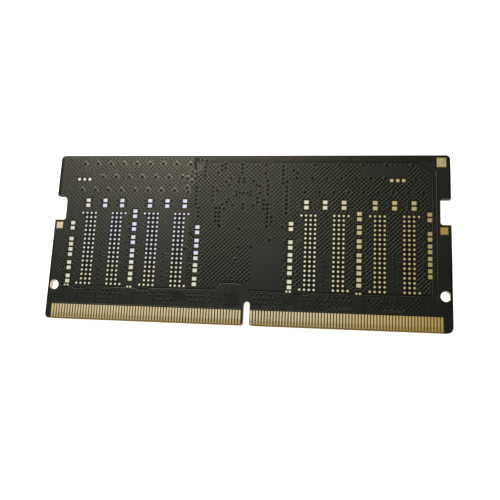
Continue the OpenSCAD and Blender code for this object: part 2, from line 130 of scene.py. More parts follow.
class Signal:
    """A node's output that takes part in Python sums, and adds the next node."""

    def __init__(self, tree, socket=None):
        self.tree = tree
        self.socket = socket

    def node(self, kind, settings=None, values=None, out=0):
        """Adds a node: first its settings, then the values or links of its sockets."""
        made = self.tree.nodes.new(kind)
        for name, value in (settings or {}).items():
            setattr(made, name, value)
        for key, value in (values or {}).items():
            if isinstance(value, Signal):
                self.tree.links.new(value.socket, made.inputs[key])
            else:
                made.inputs[key].default_value = value
        return Signal(self.tree, made.outputs[out])

    def maths(self, operation, first, second=0.0):
        return self.node("ShaderNodeMath", {"operation": operation}, {0: first, 1: second})

    def __add__(self, other):
        return self.maths("ADD", self, other)

    def __sub__(self, other):
        return self.maths("SUBTRACT", self, other)

    def __rsub__(self, other):
        return self.maths("SUBTRACT", other, self)

    def __mul__(self, other):
        return self.maths("MULTIPLY", self, other)

    def __abs__(self):
        return self.maths("ABSOLUTE", self)

    __radd__ = __add__
    __rmul__ = __mul__

    def noise(self, size, detail=2.0):
        """Cloudy noise with blotches of a size in millimetres."""
        return self.node("ShaderNodeTexNoise", None,
                         {"Vector": self, "Scale": 1 / (size * MM), "Detail": detail})

    def stretched(self, x, y, z):
        """The same place with each direction scaled, so a pattern is drawn out."""
        return self.node("ShaderNodeMapping", None, {"Vector": self, "Scale": (x, y, z)})

    def along(self, axis):
        """Distance along one axis, in millimetres."""
        return self.node("ShaderNodeSeparateXYZ", None, {0: self}, out=axis) * (1 / MM)

    def about(self, value, spread):
        """A value, with this from 0 to 1 spread about it."""
        return (self - 0.5) * spread + value

    def stripes(self, pitch):
        """A soft wave, from 0 to 1, that repeats at a pitch in millimetres."""
        return self.maths("SINE", self * (2 * math.pi / pitch)) * 0.5 + 0.5

    def ramp(self, low, high):
        """0 below low, 1 above high, and smooth between."""
        return self.node("ShaderNodeMapRange", {"interpolation_type": "SMOOTHSTEP"},
                         {0: self, 1: low, 2: high})

    def tint(self, dark, light):
        """A colour between two, by this value."""
        return self.node("ShaderNodeMix", {"data_type": "RGBA"},
                         {0: self, 6: (*dark, 1), 7: (*light, 1)}, out=2)

    def over(self, below, colour):
        """This value lays a colour over the colour below."""
        return self.node("ShaderNodeMix", {"data_type": "RGBA"},
                         {0: self, 6: below, 7: (*colour, 1)}, out=2)

    def bump(self, height):
        """A normal for a surface that rises by a height in millimetres where this is 1."""
        return self.node("ShaderNodeBump", None, {"Height": self, "Distance": height * MM})


def finish(name):
    """A new material, and the place on the piece that its patterns follow."""
    material = bpy.data.materials.new(name)
    material.use_nodes = True
    place = Signal(material.node_tree).node("ShaderNodeTexCoord", out="Object")
    return material, place


def surface(material, **values):
    """Sets or links the sockets of a material's shader; Base_Color stands for Base Color."""
    shader = material.node_tree.nodes["Principled BSDF"]
    for name, value in values.items():
        socket = shader.inputs[name.replace("_", " ")]
        if isinstance(value, Signal):
            material.node_tree.links.new(value.socket, socket)
        else:
            socket.default_value = value
    return material


def dress(material, *names):
    """Gives CAD nodes a material in place of their plain one."""
    for name in names:
        nodes[name].data.materials.clear()
        nodes[name].data.materials.append(material)


WEAVE_PITCH = 0.9
WEAVE_RELIEF = 0.004
SHEET_PITCH = 0.14
SHEET_BREAK = 0.4
RESIN_CLOUD = 0.25
GRAIN = 0.1
FINE_GRAIN = 0.06
SOFT = 0.05
RESIN = (0.070, 0.032, 0.013)
GLASS = (0.150, 0.082, 0.030)
GAP_BROWN = (0.022, 0.012, 0.007)
GAP_OLIVE = (0.080, 0.052, 0.012)
BARE_TOP = 2.9
OLIVE_FROM, OLIVE_TO = 4, 24
BEVEL_TOP = 0.34
BEVEL = (0.150, 0.100, 0.020)
SHEET_LINE = (0.030, 0.016, 0.008)
SHEET_EDGE = (0.016, 0.011, 0.007)
EDGE_FROM, EDGE_TO = 0.16, 0.08
# Hole walls, painted paler than cut laminate as painted light, so the shaded wall reads like the bright
# floor seen through the hole.
DRILLED_PAINTED_PALE = (0.80, 0.77, 0.68)
HOLE_IN = 1.1
HOLE_UP = 5.95
HOLE_ROOM = 0.93
board_w = (board_high.x - board_low.x) / MM
board_l = (board_high.y - board_low.y) / MM


def laminate_finish():
    material, place = finish("laminate")
    weave = place.along(0).stripes(WEAVE_PITCH) * place.along(1).stripes(WEAVE_PITCH)
    cloth = (weave * 0.6 + place.noise(RESIN_CLOUD) * 0.4).tint(RESIN, GLASS)
    up = place.along(1) - board_low.y / MM
    bare = 1 - up.ramp(BARE_TOP, BARE_TOP + SOFT)
    face = bare.over(cloth, GAP_BROWN)
    face = (bare * abs(place.along(0)).ramp(OLIVE_FROM, OLIVE_TO)).over(face, GAP_OLIVE)
    face = (1 - up.ramp(BEVEL_TOP - SOFT, BEVEL_TOP)).over(face, BEVEL)
    sheets = place.along(2).stripes(SHEET_PITCH).ramp(0.7, 1.0) * place.noise(SHEET_BREAK).ramp(0.3, 0.6)
    edge = 1 - place.along(2).ramp(upper_z / MM - EDGE_FROM, upper_z / MM - EDGE_TO)
    cut = sheets.over(edge.over(face, SHEET_EDGE), SHEET_LINE)
    flat = place.node("ShaderNodeVectorMath", {"operation": "MULTIPLY"}, {0: place, 1: (1, 1, 0)})
    # Painted light on the walls of the two holes.
    for x in (HOLE_IN, board_w - HOLE_IN):
        away = flat.node("ShaderNodeVectorMath", {"operation": "DISTANCE"},
                         {0: flat, 1: tuple(seat(x, HOLE_UP, 0))}, out=1)
        cut = (1 - away.ramp(HOLE_ROOM * MM, (HOLE_ROOM + SOFT) * MM)).over(cut, DRILLED_PAINTED_PALE)
    return surface(
        material,
        Base_Color=cut,
        Roughness=place.noise(GRAIN).about(0.575, 0.25),
        Specular_IOR_Level=0.2,
        Normal=(weave * 0.5 + place.noise(FINE_GRAIN)).bump(WEAVE_RELIEF))


laminate = laminate_finish()
dress(laminate, "circuit_board")

# Solder mask. A thin black lacquer, printed on both faces of the board and cured. It is
# half matt and follows the copper below it, and it looks darker where no copper is under it.
MASK_DARK = (0.0022, 0.0022, 0.0018)
MASK_LIGHT = (0.0036, 0.0035, 0.0028)
RIDGE_DARK = (0.0034, 0.0033, 0.0027)
RIDGE_LIGHT = (0.0052, 0.0049, 0.0038)
HOLLOW_DARK = (0.0009, 0.0009, 0.0008)
HOLLOW_LIGHT = (0.0016, 0.0016, 0.0013)
MASK_CLOUD = 1.6
MASK_RIPPLE = 0.35
MASK_GRAIN = 0.05
MASK_RELIEF = 0.006
MASK_IOR = 1.45
MASK_TINT = (0.785, 0.94, 0.79, 1)


def mask_finish(name, dark, light, roughness, gloss):
    """Half matt lacquer, cloudy and finely grained; gloss is the strength of its reflections."""
    material, place = finish(name)
    cloud = place.noise(MASK_CLOUD, detail=3.0)
    grain = place.noise(MASK_GRAIN)
    return surface(
        material,
        Base_Color=cloud.tint(dark, light),
        Roughness=grain.about(cloud.about(roughness, 0.06), 0.05),
        IOR=MASK_IOR,
        Specular_IOR_Level=gloss,
        Specular_Tint=MASK_TINT,
        Normal=(place.noise(MASK_RIPPLE) * 0.7 + grain * 0.3).bump(MASK_RELIEF))


mask = mask_finish("solder_mask", MASK_DARK, MASK_LIGHT, roughness=0.38, gloss=0.255)
mask_over_copper = mask_finish("solder_mask_over_copper", RIDGE_DARK, RIDGE_LIGHT,
                               roughness=0.36, gloss=0.45)
mask_on_via_lands = mask_finish("solder_mask_on_via_lands", RIDGE_DARK, RIDGE_LIGHT,
                                roughness=0.34, gloss=0.57)
mask_over_laminate = mask_finish("solder_mask_over_laminate", MASK_DARK, MASK_LIGHT,
                                 roughness=0.40, gloss=0.19)
mask_over_resin = mask_finish("solder_mask_over_resin", HOLLOW_DARK, HOLLOW_LIGHT,
                              roughness=0.42, gloss=0.11)
# Via plugs and the border groove: darker ink over bare laminate, and painted shade of the dimples and of the
# border's step.
via_mask_with_painted_shade = mask_finish("solder_mask_in_vias_painted_shade", HOLLOW_DARK, HOLLOW_LIGHT, roughness=0.45, gloss=0.11)
dress(mask, "upper_solder_mask", "lower_solder_mask")

# Copper under the mask. Most of a face is a copper plane, etched as a net of diagonal lines
# with small square openings. The lines stand proud under the mask as low ridges, and in the
# left third the net is flatter, with a small bead of copper at each crossing.
NET_PITCH = 0.532
NET_LEAST = 0.3
WELD = 0.0005
PARALLEL = 1e-9


def solids(name):
    """The separate solids of a CAD node, each as the board millimetres (x0, y0, x1, y1)."""
    work = bmesh.new()
    work.from_mesh(nodes[name].data)
    bmesh.ops.remove_doubles(work, verts=work.verts, dist=WELD * MM)
    work.verts.ensure_lookup_table()
    seen = set()
    boxes = []
    for start in work.verts:
        if start.index in seen:
            continue
        seen.add(start.index)
        group = [start]
        for vert in group:
            for edge in vert.link_edges:
                near = edge.other_vert(vert)
                if near.index not in seen:
                    seen.add(near.index)
                    group.append(near)
        xs = [(vert.co.x - board_low.x) / MM for vert in group]
        ys = [(vert.co.y - board_low.y) / MM for vert in group]
        boxes.append((min(xs), min(ys), max(xs), max(ys)))
    work.free()
    return boxes


def grown(box, aside, up=None):
    """The four corners of a box that is grown on each side, and by another room up and down if given."""
    up = aside if up is None else up
    x0, y0, x1, y1 = box
    return [(x0 - aside, y0 - up), (x1 + aside, y0 - up), (x1 + aside, y1 + up), (x0 - aside, y1 + up)]


def middle(box):
    """The middle of a box, in board millimetres."""
    return ((box[0] + box[2]) / 2, (box[1] + box[3]) / 2)


def inside(outline, place):
    """True where a place lies inside a convex outline, which runs anticlockwise."""
    return all((bx - ax) * (place[1] - ay) > (by - ay) * (place[0] - ax)
               for (ax, ay), (bx, by) in zip(outline, outline[1:] + outline[:1]))


def span_in_outline(outline, start, way):
    """The stretch of a line that is inside a convex outline, as two distances from its start."""
    low, high = -math.inf, math.inf
    for (ax, ay), (bx, by) in zip(outline, outline[1:] + outline[:1]):
        nx, ny = by - ay, ax - bx
        outward = nx * way[0] + ny * way[1]
        room = nx * (ax - start[0]) + ny * (ay - start[1])
        if abs(outward) < PARALLEL:
            if room < 0:
                return None
        elif outward > 0:
            high = min(high, room / outward)
        else:
            low = max(low, room / outward)
    return (low, high) if low < high else None


def span_in_circle(circle, start, way):
    """The stretch of a line that is inside a circle, as two distances from its start."""
    (x, y), radius = circle
    along = (x - start[0]) * way[0] + (y - start[1]) * way[1]
    aside = abs((x - start[0]) * way[1] - (y - start[1]) * way[0])
    if aside >= radius:
        return None
    half = math.sqrt(radius ** 2 - aside ** 2)
    return along - half, along + half


def net_lines(field, rise, outlines, circles):
    """Parallel 45 degree lines over a field, rising by 1 or -1 to the right, cut at the keep-outs."""
    way = (math.sqrt(0.5), rise * math.sqrt(0.5))
    across = (-way[1], way[0])
    offsets = [x * across[0] + y * across[1] for x, y in field]
    lines = []
    for k in range(math.ceil(min(offsets) / NET_PITCH), math.ceil(max(offsets) / NET_PITCH)):
        start = (k * NET_PITCH * across[0], k * NET_PITCH * across[1])
        spans = [span_in_outline(field, start, way)]
        cuts = [span_in_outline(outline, start, way) for outline in outlines]
        cuts += [span_in_circle(circle, start, way) for circle in circles]
        for cut in filter(None, cuts):
            spans = [part for low, high in filter(None, spans)
                     for part in ((low, min(high, cut[0])), (max(low, cut[1]), high))
                     if part[1] - part[0] > NET_LEAST]
        for low, high in filter(None, spans):
            lines.append([(start[0] + t * way[0], start[1] + t * way[1]) for t in (low, high)])
    return lines


def net_openings(field, outlines, circles, odd=1):
    """The middles of the net's openings, or with odd=0 its crossings, clear of the keep-outs."""
    step = NET_PITCH / math.sqrt(2)
    columns, rows = ([round(value / step) for value in values] for values in zip(*field))
    places = [(i * step, j * step) for i in range(min(columns), max(columns))
              for j in range(min(rows), max(rows)) if (i + j) % 2 == odd]
    return [place for place in places
            if inside(field, place) and not any(inside(outline, place) for outline in outlines)
            and all(math.dist(place, spot) > radius for spot, radius in circles)]


# Drilled vias join the layers and are closed by the mask. Rows of them cross the left and
# right thirds, and short columns feed the power parts on the other face. Places in
# millimetres from the left end and the contact edge.
VIA_ROW_STEP = 2.49
VIA_ROWS = [(4.67, 28.4, 8), (8.37, 25.9, 7), (4.62, 23.4, 8),
            (46.5, 25.83, 6), (63.95, 25.75, 1), (45.28, 23.3, 9)]
VIA_SINGLES = [
    (46.9, 28.25), (51.2, 28.3), (55.2, 28.35), (59.1, 28.25), (63.45, 28.15),
    (24.7, 28.3), (24.3, 25.65), (25.15, 27.05), (25.1, 26.15), (25.15, 25.05), (24.3, 23.95),
    (24.55, 23.15), (25.95, 29.3), (26.75, 29.15), (27.65, 28.95),
    (29.8, 26.75), (30.45, 27.25), (30.45, 28.05),
    (29.85, 23.5), (30.8, 20.95), (31.2, 20.2), (31.6, 21.4), (31.9, 21.9), (32.65, 20.85),
    (31.35, 25.1), (32.15, 25.8), (31.95, 24.55), (33.7, 25.8), (34.5, 25.7), (33.55, 25.1),
    (34.5, 25.1), (33.3, 23.3), (33.3, 22.65), (33.85, 23.05), (34.5, 23.05), (35.25, 23.05),
    (35.75, 23.35), (35.75, 22.65), (34.5, 21.0), (34.5, 20.35), (36.25, 20.8), (36.25, 25.25),
    (36.85, 24.55), (37.35, 24.35), (37.45, 23.05), (38.35, 28.2), (38.3, 26.7), (38.7, 25.3),
    (42.1, 25.15), (43.2, 27.25), (43.9, 26.8), (43.8, 25.85), (30.6, 17.0),
    (34.0, 13.4), (36.25, 13.45), (33.75, 11.1), (33.5, 10.6), (33.1, 8.0), (33.4, 7.4), (39.4, 14.75),
    (34.0, 16.65), (41.5, 17.05), (24.6, 12.9)]
VIA_COLUMN_STEP = 0.77
VIA_COLUMNS = [(26.05, 24.07, 5), (26.62, 20.29, 3), (27.45, 27.83, 3), (29.05, 24.07, 4),
               (29.7, 20.29, 4), (30.4, 20.3, 5), (31.1, 28.43, 2), (34.15, 28.36, 3),
               (37.05, 22.19, 2), (38.8, 24.43, 3), (38.15, 21.8, 3), (38.85, 21.0, 6),
               (39.6, 18.75, 2), (41.4, 28.0, 5), (42.1, 24.18, 7)]
VIA_R = 0.29
VIA_RIM_R = 0.48
vias = [(x + k * VIA_ROW_STEP, y) for x, y, count in VIA_ROWS for k in range(count)]
vias += [(x, y - k * VIA_COLUMN_STEP) for x, y, count in VIA_COLUMNS for k in range(count)]
vias += VIA_SINGLES

# Small vias sit between the chips' lands, beside the capacitors' lands, and in three
# rows above the contacts, where the lines from the contacts go down to the chips.
SMALL_VIA_R = 0.20
SMALL_VIA_RIM_R = 0.36
TINY_VIAS = [(37.7, 28.45), (39.15, 28.45), (38.45, 27.45), (38.45, 25.9), (38.0, 25.2), (39.65, 25.2)]
CHIPS = (1, 2, 3, 4)
CHIP_LANDS = [f"upper_chip_lands_{n}" for n in CHIPS]
chip_lands = [solids(name) for name in CHIP_LANDS]
chip_xs = [(min(box[0] for box in lands) + max(box[2] for box in lands)) / 2 for lands in chip_lands]
ball_lands = [middle(box) for lands in chip_lands for box in lands]
pads = solids("upper_capacitor_lands")
PAD_VIA_OUT = 0.85
BALL_PITCH = 0.8
ball_vias = []
for lands in chip_lands:
    places = [middle(box) for box in lands]
    for x, y in places:
        next_ball = (x + BALL_PITCH, y - BALL_PITCH)
        if any(math.dist(next_ball, other) < BALL_PITCH / 4 for other in places):
            ball_vias.append((x + BALL_PITCH / 2, y - BALL_PITCH / 2))
ROW_VIAS = [
    (5.2, (4.0, 4.6, 6.3, 7.1, 7.8, 8.7, 10.3, 11.1, 11.9, 12.6, 13.5, 19.3, 19.9, 21.1, 24.6, 25.9,
           26.7, 27.4, 28.2, 29.9, 36.9, 37.7, 38.5, 40.1, 41.7, 42.5, 45.6, 46.2)),
    (4.9, (16.7, 17.5, 18.3)),
    (4.5, (5.1, 6.3, 7.1, 8.2, 9.9, 10.8, 12.1, 13.0, 13.9, 18.9, 20.4, 21.2, 22.4, 25.5, 26.3, 27.1,
           27.9, 28.7, 29.4, 30.3, 37.3, 38.1, 38.9, 39.7, 40.5, 45.1, 45.9, 46.7)),
    (3.7, (7.1, 7.9, 9.5, 10.3, 11.6, 20.1, 20.9, 22.1, 26.3, 27.1, 27.9, 29.5, 37.7, 38.5, 39.3,
           40.9, 41.7, 46.5))]
REPEAT_FROM, REPEAT_TO = 8.5, 25
ROW_REPEAT = 39.5
CHIP_VIAS = [(-0.05, 11.9), (-0.05, 11.3), (0.05, 10.45), (-0.05, 8.8), (-0.05, 8.05), (0.05, 7.15)]
pad_vias = [(middle(box)[0] + side * PAD_VIA_OUT, middle(box)[1]) for box in pads for side in (-1, 1)]
row_vias = [(x, y) for y, xs in ROW_VIAS for x in xs]
row_vias += [(x + ROW_REPEAT, y) for x, y in row_vias if REPEAT_FROM < x < REPEAT_TO]
row_vias += [(x + out, y) for x in chip_xs for out, y in CHIP_VIAS]
row_vias += TINY_VIAS

# The net leaves bare: smooth patches, the split between the planes, a strip under each
# chip, and what lies round the lands, the vias, the holes and the notches.
PATCHES = [(36.3, 6.2, 41.6, 13.9), (54.7, 26.3, 62.6, 28.0)]
SPLIT = (25.1, 25.5, 25.95, board_l)
LEFT_PATCHES = [(0, 13.2, 2.6, 18.2), (0, 3, 2.9, 7.6), (0, 17.6, 2.2, 22.6)]
RIGHT_PATCH = (board_w - 3.3, 3, board_w, board_l)
CHIP_PATCH = (-1.35, 6.2, 1.35, 12.4)
PORCH = (30.3, 5.7, 36.2, 7.35)
PATCH_ROOM = 0.1
PAD_ROOM_ASIDE = 0.28
PAD_ROOM_UP = 0.22
SMALL_LAND_ROOM = 0.3
BALL_ROOM_R = 0.55
RIM_LAP = 0.02
patches = [*PATCHES, SPLIT, *LEFT_PATCHES, RIGHT_PATCH, PORCH]
patches += [(x + CHIP_PATCH[0], CHIP_PATCH[1], x + CHIP_PATCH[2], CHIP_PATCH[3]) for x in chip_xs]
small_lands = solids("test_lands") + solids("upper_resistor_lands")
keep_outs = [grown(box, PATCH_ROOM) for box in patches]
keep_outs += [grown(box, PAD_ROOM_ASIDE, PAD_ROOM_UP) for box in pads]
keep_outs += [grown(box, SMALL_LAND_ROOM) for box in small_lands]
keep_rounds = [(place, BALL_ROOM_R) for place in ball_lands]
keep_rounds += [(place, VIA_RIM_R - RIM_LAP) for place in vias]
keep_rounds += [(place, SMALL_VIA_RIM_R - RIM_LAP) for place in pad_vias]
FIELD_IN = 1.25
FIELD_LOW = 6.3
FIELD_SPLIT = 25.0
LEFT_FIELD = grown((FIELD_IN, FIELD_LOW, FIELD_SPLIT, board_l - 0.4), 0)
MAIN_FIELD = [(FIELD_SPLIT, FIELD_LOW), (66.3, FIELD_LOW), (66.3, 26.4), (63.6, 28.45), (28.0, 28.45),
              (FIELD_SPLIT, 25.6)]


def new_tree(name, sizes):
    """A Geometry Nodes tree with a named input for each size, and its inputs as signals."""
    tree = bpy.data.node_groups.new(name, "GeometryNodeTree")
    tree.interface.new_socket("Geometry", in_out="OUTPUT", socket_type="NodeSocketGeometry")
    tree.interface.new_socket("Geometry", in_out="INPUT", socket_type="NodeSocketGeometry")
    tree.interface.new_socket("Material", in_out="INPUT", socket_type="NodeSocketMaterial")
    for size in sizes:
        tree.interface.new_socket(size, in_out="INPUT", socket_type="NodeSocketFloat")
    inputs = tree.nodes.new("NodeGroupInput")
    return tree, {socket.name: Signal(tree, socket) for socket in inputs.outputs if socket.name}


def end_tree(shape, material):
    """Ends a tree in Realize Instances and Set Material."""
    real = shape.node("GeometryNodeRealizeInstances", None, {0: shape})
    done = real.node("GeometryNodeSetMaterial", None, {"Geometry": real, "Material": material})
    output = done.tree.nodes.new("NodeGroupOutput")
    done.tree.links.new(done.socket, output.inputs[0])


def ridge_profile(given):
    """The cross-section of a ridge: a low trapezoid, which the sweep turns upside down."""
    return given["Base"].node(
        "GeometryNodeCurvePrimitiveQuadrilateral", {"mode": "TRAPEZOID"},
        {"Bottom Width": given["Top"], "Top Width": given["Base"], "Offset": 0.0,
         "Height": given["Height"]})


def swept(path, profile):
    """The ridge along a path, turned so that its top faces up."""
    level = path.node("GeometryNodeSetCurveNormal", {"mode": "Z_UP"}, {"Curve": path})
    return level.node("GeometryNodeCurveToMesh", None,
                      {"Curve": level, "Profile Curve": profile, "Fill Caps": True})


def ridge_tree():
    """Ridges along the edges of a mesh."""
    tree, given = new_tree("ridges", ("Base", "Top", "Height"))
    path = given["Geometry"].node("GeometryNodeMeshToCurve", None, {0: given["Geometry"]})
    end_tree(swept(path, ridge_profile(given)), given["Material"])
    return tree


def ring_tree():
    """A round ridge at each point of a mesh."""
    tree, given = new_tree("rings", ("Base", "Top", "Height", "Radius", "Sides"))
    circle = given["Radius"].node("GeometryNodeCurvePrimitiveCircle", None,
                                  {"Resolution": given["Sides"], "Radius": given["Radius"]})
    ring = swept(circle, ridge_profile(given))
    placed = ring.node("GeometryNodeInstanceOnPoints", None, {"Points": given["Geometry"], "Instance": ring})
    end_tree(placed, given["Material"])
    return tree


def stud_tree():
    """A low stud with sloping sides at each point of a mesh."""
    tree, given = new_tree("studs", ("Base", "Top", "Height", "Sides", "Stretch", "Turn"))
    stud = given["Base"].node(
        "GeometryNodeMeshCone", None,
        {"Vertices": given["Sides"], "Radius Top": given["Top"], "Radius Bottom": given["Base"],
         "Depth": given["Height"]})
    turn = stud.node("ShaderNodeCombineXYZ", None, {"Z": given["Turn"]})
    scale = stud.node("ShaderNodeCombineXYZ", None, {"X": given["Stretch"], "Y": 1.0, "Z": 1.0})
    placed = stud.node("GeometryNodeInstanceOnPoints", None,
                       {"Points": given["Geometry"], "Instance": stud, "Rotation": turn, "Scale": scale})
    end_tree(placed, given["Material"])
    return tree


SAME_PLACE = 1e-9


def kept(name, mesh, material):
    """Keeps a mesh as a finished piece, with its faces outward and one material."""
    work = bmesh.new()
    work.from_mesh(mesh)
    bmesh.ops.remove_doubles(work, verts=work.verts, dist=SAME_PLACE)
    bmesh.ops.recalc_face_normals(work, faces=work.faces)
    work.to_mesh(mesh)
    work.free()
    mesh.materials.clear()
    mesh.materials.append(material)
    mesh.polygons.foreach_set("material_index", [0] * len(mesh.polygons))
    mesh.name = name
    piece = bpy.data.objects.new(name, mesh)
    bpy.context.scene.collection.objects.link(piece)
    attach(piece, "root")
    return piece


PLAIN_INPUTS = ("Sides", "Stretch", "Turn")


def grow(name, tree, points, edges, material, slot, **sizes):
    """Runs a tree on points and edges, with sizes in millimetres, and keeps its result as a piece."""
    seed = bpy.data.meshes.new(name + "_seed")
    seed.from_pydata(points, edges, [])
    source = bpy.data.objects.new(name + "_seed", seed)
    bpy.context.scene.collection.objects.link(source)
    modifier = source.modifiers.new("nodes", "NODES")
    modifier.node_group = tree
    modifier[tree.interface.items_tree["Material"].identifier] = material
    for size, value in sizes.items():
        scale = 1 if size in PLAIN_INPUTS else MM
        modifier[tree.interface.items_tree[size].identifier] = value * scale
    bpy.context.view_layer.update()
    mesh = bpy.data.meshes.new_from_object(source.evaluated_get(bpy.context.evaluated_depsgraph_get()))
    source.modifiers.remove(modifier)
    bpy.data.objects.remove(source)
    return kept(name, mesh, material)


RIDGES = ridge_tree()
RINGS = ring_tree()
STUDS = stud_tree()


def ridges(name, lines, z, height, base, top, material=mask_over_copper):
    """Ridges along lines of board millimetres, standing on z, or hanging from it for a height below 0."""
    points = [seat(x, y, z + height / 2 * MM) for line in lines for x, y in line]
    starts = [0]
    for line in lines:
        starts.append(starts[-1] + len(line))
    edges = [(first + k, first + k + 1)
             for first, line in zip(starts, lines) for k in range(len(line) - 1)]
    low, high = (base, top) if height > 0 else (top, base)
    return grow(name, RIDGES, points, edges, material, "solder_mask",
                Base=low, Top=high, Height=abs(height))


STRIP_SLOPE = 0.02
WIDE_SLOPE = 0.04


def strips(name, lines, height, width, material, slope=STRIP_SLOPE, z=upper_z):
    """Flat strips along lines: ridges with steep sides."""
    return ridges(name, lines, z, height, width, width - slope, material)


NEIGHBOUR_STEP = 0.001


def rings(name, places, z, inner, outer, slope, height, material=mask_over_copper, slot="solder_mask",
          sides=14):
    """A flat ring round each place; neighbours differ by a micron, so that none lie in one plane."""
    points = [seat(x, y, z + (height / 2 + k % 2 * NEIGHBOUR_STEP) * MM)
              for k, (x, y) in enumerate(places)]
    base, top = outer - inner, outer - inner - slope
    low, high = (base, top) if height > 0 else (top, base)
    return grow(name, RINGS, points, [], material, slot,
                Base=low, Top=high, Height=abs(height), Radius=(inner + outer) / 2, Sides=sides)


def studs(name, places, z, radius, height, material, sides=12, stretch=1.0, turn=0.0, top=0.9):
    """A low stud at each place, standing on z, or hanging from it for a height below 0."""
    points = [seat(x, y, z + min(height, 0) * MM) for x, y in places]
    low, high = (1.0, top) if height > 0 else (top, 1.0)
    return grow(name, STUDS, points, [], material, "solder_mask",
                Base=radius * low, Top=radius * high, Height=abs(height), Sides=sides,
                Stretch=stretch, Turn=math.radians(turn))


NET_TOP = 0.08
OPENING_SIDES = 6
OPENING_STRETCH = 1.25
OPENING_TURN = 45
OPENING_LIFT = 0.008


def net(name, field, z, lines, outlines, circles):
    """The two sets of lines of a net; lines gives the height and the base of each set."""
    for way, rise in (("rising", 1), ("falling", -1)):
        height, base = lines[way]
        ridges(f"{name}_net_{way}", net_lines(field, rise, outlines, circles), z, height, base, NET_TOP)


def openings(name, places, z, radius, height, material=mask_over_resin, turn=OPENING_TURN):
    """The openings of a net: flat dark studs, drawn out along one diagonal."""
    studs(name, places, z, radius, height, material, OPENING_SIDES, OPENING_STRETCH, turn)


# Each net has its field, its lines, and the radius and turn of its openings.
NETS = [("left", LEFT_FIELD, {"rising": (0.0025, 0.24), "falling": (0.003, 0.26)}, 0.070, -OPENING_TURN),
        ("main", MAIN_FIELD, {"rising": (0.027, 0.34), "falling": (0.018, 0.25)}, 0.135, OPENING_TURN)]
BEAD_R = 0.14
BEAD_TOP = 0.4
BEAD_RISE = 0.0045
BEAD_SIDES = 8
for name, field, lines, opening, turn in NETS:
    net(name, field, upper_z, lines, keep_outs, keep_rounds)
    openings(f"{name}_net_openings", net_openings(field, keep_outs, keep_rounds), upper_z, opening,
             OPENING_LIFT, turn=turn)
beads = net_openings(LEFT_FIELD, keep_outs, keep_rounds, 0)
studs("left_net_beads", beads, upper_z, BEAD_R, BEAD_RISE, mask, BEAD_SIDES, top=BEAD_TOP)

# Tracks and gaps. The border of the right-hand plane, the ridges along the ends, a few single
# tracks and the fans over the contacts stand proud under the mask. Where the copper is etched
# away, as in the split and along the top edge, the mask looks darker.
TRACE_BASE = 0.26
TRACE_TOP = 0.12
TRACE_RISE = 0.034
CHIP_TRACE_RISE = 0.016
BORDER = [(2.8, 5.75), (4.1, 5.75), (5.0, 5.25), (6.9, 5.25), (7.4, 5.72), (15.9, 5.68), (17.0, 5.38),
          (18.4, 5.38), (18.9, 5.72), (30.4, 5.76), (31.4, 6.95), (34.8, 6.95), (36.1, 5.8),
          (43.6, 5.68), (43.9, 5.32), (46.0, 5.3), (46.8, 5.68), (66.45, 5.75)]
GROOVE_ASIDE = 0.26
GROOVE_W = 0.26
TRACES = [
    BORDER + [(66.65, 26.3), (65.2, 27.3)],
    [(67.3, 5.0), (67.3, 27.1)],
    [(25.2, 29.5), (25.2, 26.2)],
    [(1.0, 22.8), (1.0, 29.3)],
    [(2.75, 8.4), (2.75, 13.2)],
    [(44.9, 14.9), (44.5, 14.9), (44.1, 14.5), (43.8, 13.9)]]
CHIP_TRACES = [
    [(-0.9, 10.5), (-0.2, 10.45)], [(-0.8, 7.2), (-0.2, 7.15)],
    [(0.2, 11.9), (1.1, 11.9)], [(0.2, 11.3), (1.1, 11.3)],
    [(0.2, 8.8), (1.1, 8.8)], [(0.2, 8.05), (1.1, 8.05)]]
FAN_LOW = 2.95
FAN_RISE = 0.65
FAN_STEP = 0.5
FANS = [(3.4, 8), (12.2, 6), (21.3, 7), (29.3, 5), (38.6, 6), (42.0, 4), (49.5, 8), (58.4, 7)]
FAN_HEIGHT = 0.014
FAN_BASE = 0.24
FAN_LINES = [[(x + k * FAN_STEP, FAN_LOW), (x + k * FAN_STEP + FAN_RISE, FAN_LOW + FAN_RISE)]
             for x, count in FANS for k in range(count)]
SPLIT_GAPS = [[(25.52, 29.6), (25.72, 25.75), (25.2, 25.0)]]
LOOP_GAPS = [[(26.0, 29.4), (26.1, 28.9), (26.7, 28.4), (27.95, 28.4), (28.4, 28.68), (64.2, 28.7),
              (66.75, 27.0)]]
TRACK_GAPS = [[(24.7, 15.6), (25.6, 15.6), (26.1, 14.95)]]
PORCH_GAPS = [[(32.0, 4.6), (32.0, 6.3)], [(33.35, 3.0), (33.35, 6.4)], [(33.85, 3.0), (33.85, 6.4)]]
GAP_RISE = 0.004
SPLIT_GAP_W = 0.40
LOOP_GAP_W = 0.15
ridges("upper_tracks", TRACES, upper_z, TRACE_RISE, TRACE_BASE, TRACE_TOP)
chip_lines = [[(chip_x + x, y) for x, y in path] for chip_x in chip_xs for path in CHIP_TRACES]
ridges("chip_tracks", chip_lines, upper_z, CHIP_TRACE_RISE, TRACE_BASE, TRACE_TOP)
strips("split_gap", SPLIT_GAPS, GAP_RISE, SPLIT_GAP_W, mask_over_resin)
strips("loop_gaps", LOOP_GAPS, GAP_RISE, LOOP_GAP_W, mask_over_resin)
strips("track_gaps", TRACK_GAPS, TRACE_RISE, LOOP_GAP_W, mask_over_resin)
strips("porch_gaps", PORCH_GAPS, GAP_RISE, LOOP_GAP_W, mask_over_laminate)
ridges("contact_fans", FAN_LINES, upper_z, FAN_HEIGHT, FAN_BASE, NET_TOP)


def stretches(path, gaps):
    """The straight stretches of a path that runs to the right, without what lies in the gaps."""
    kept_lines = []
    for (x0, y0), (x1, y1) in zip(path, path[1:]):
        spans = [(x0, x1)]
        for low, high in gaps:
            spans = [part for a, b in spans for part in ((a, min(b, low)), (max(a, high), b))
                     if part[1] > part[0]]
        slope = (y1 - y0) / (x1 - x0)
        kept_lines += [[(x, y0 + (x - x0) * slope) for x in span] for span in spans]
    return kept_lines


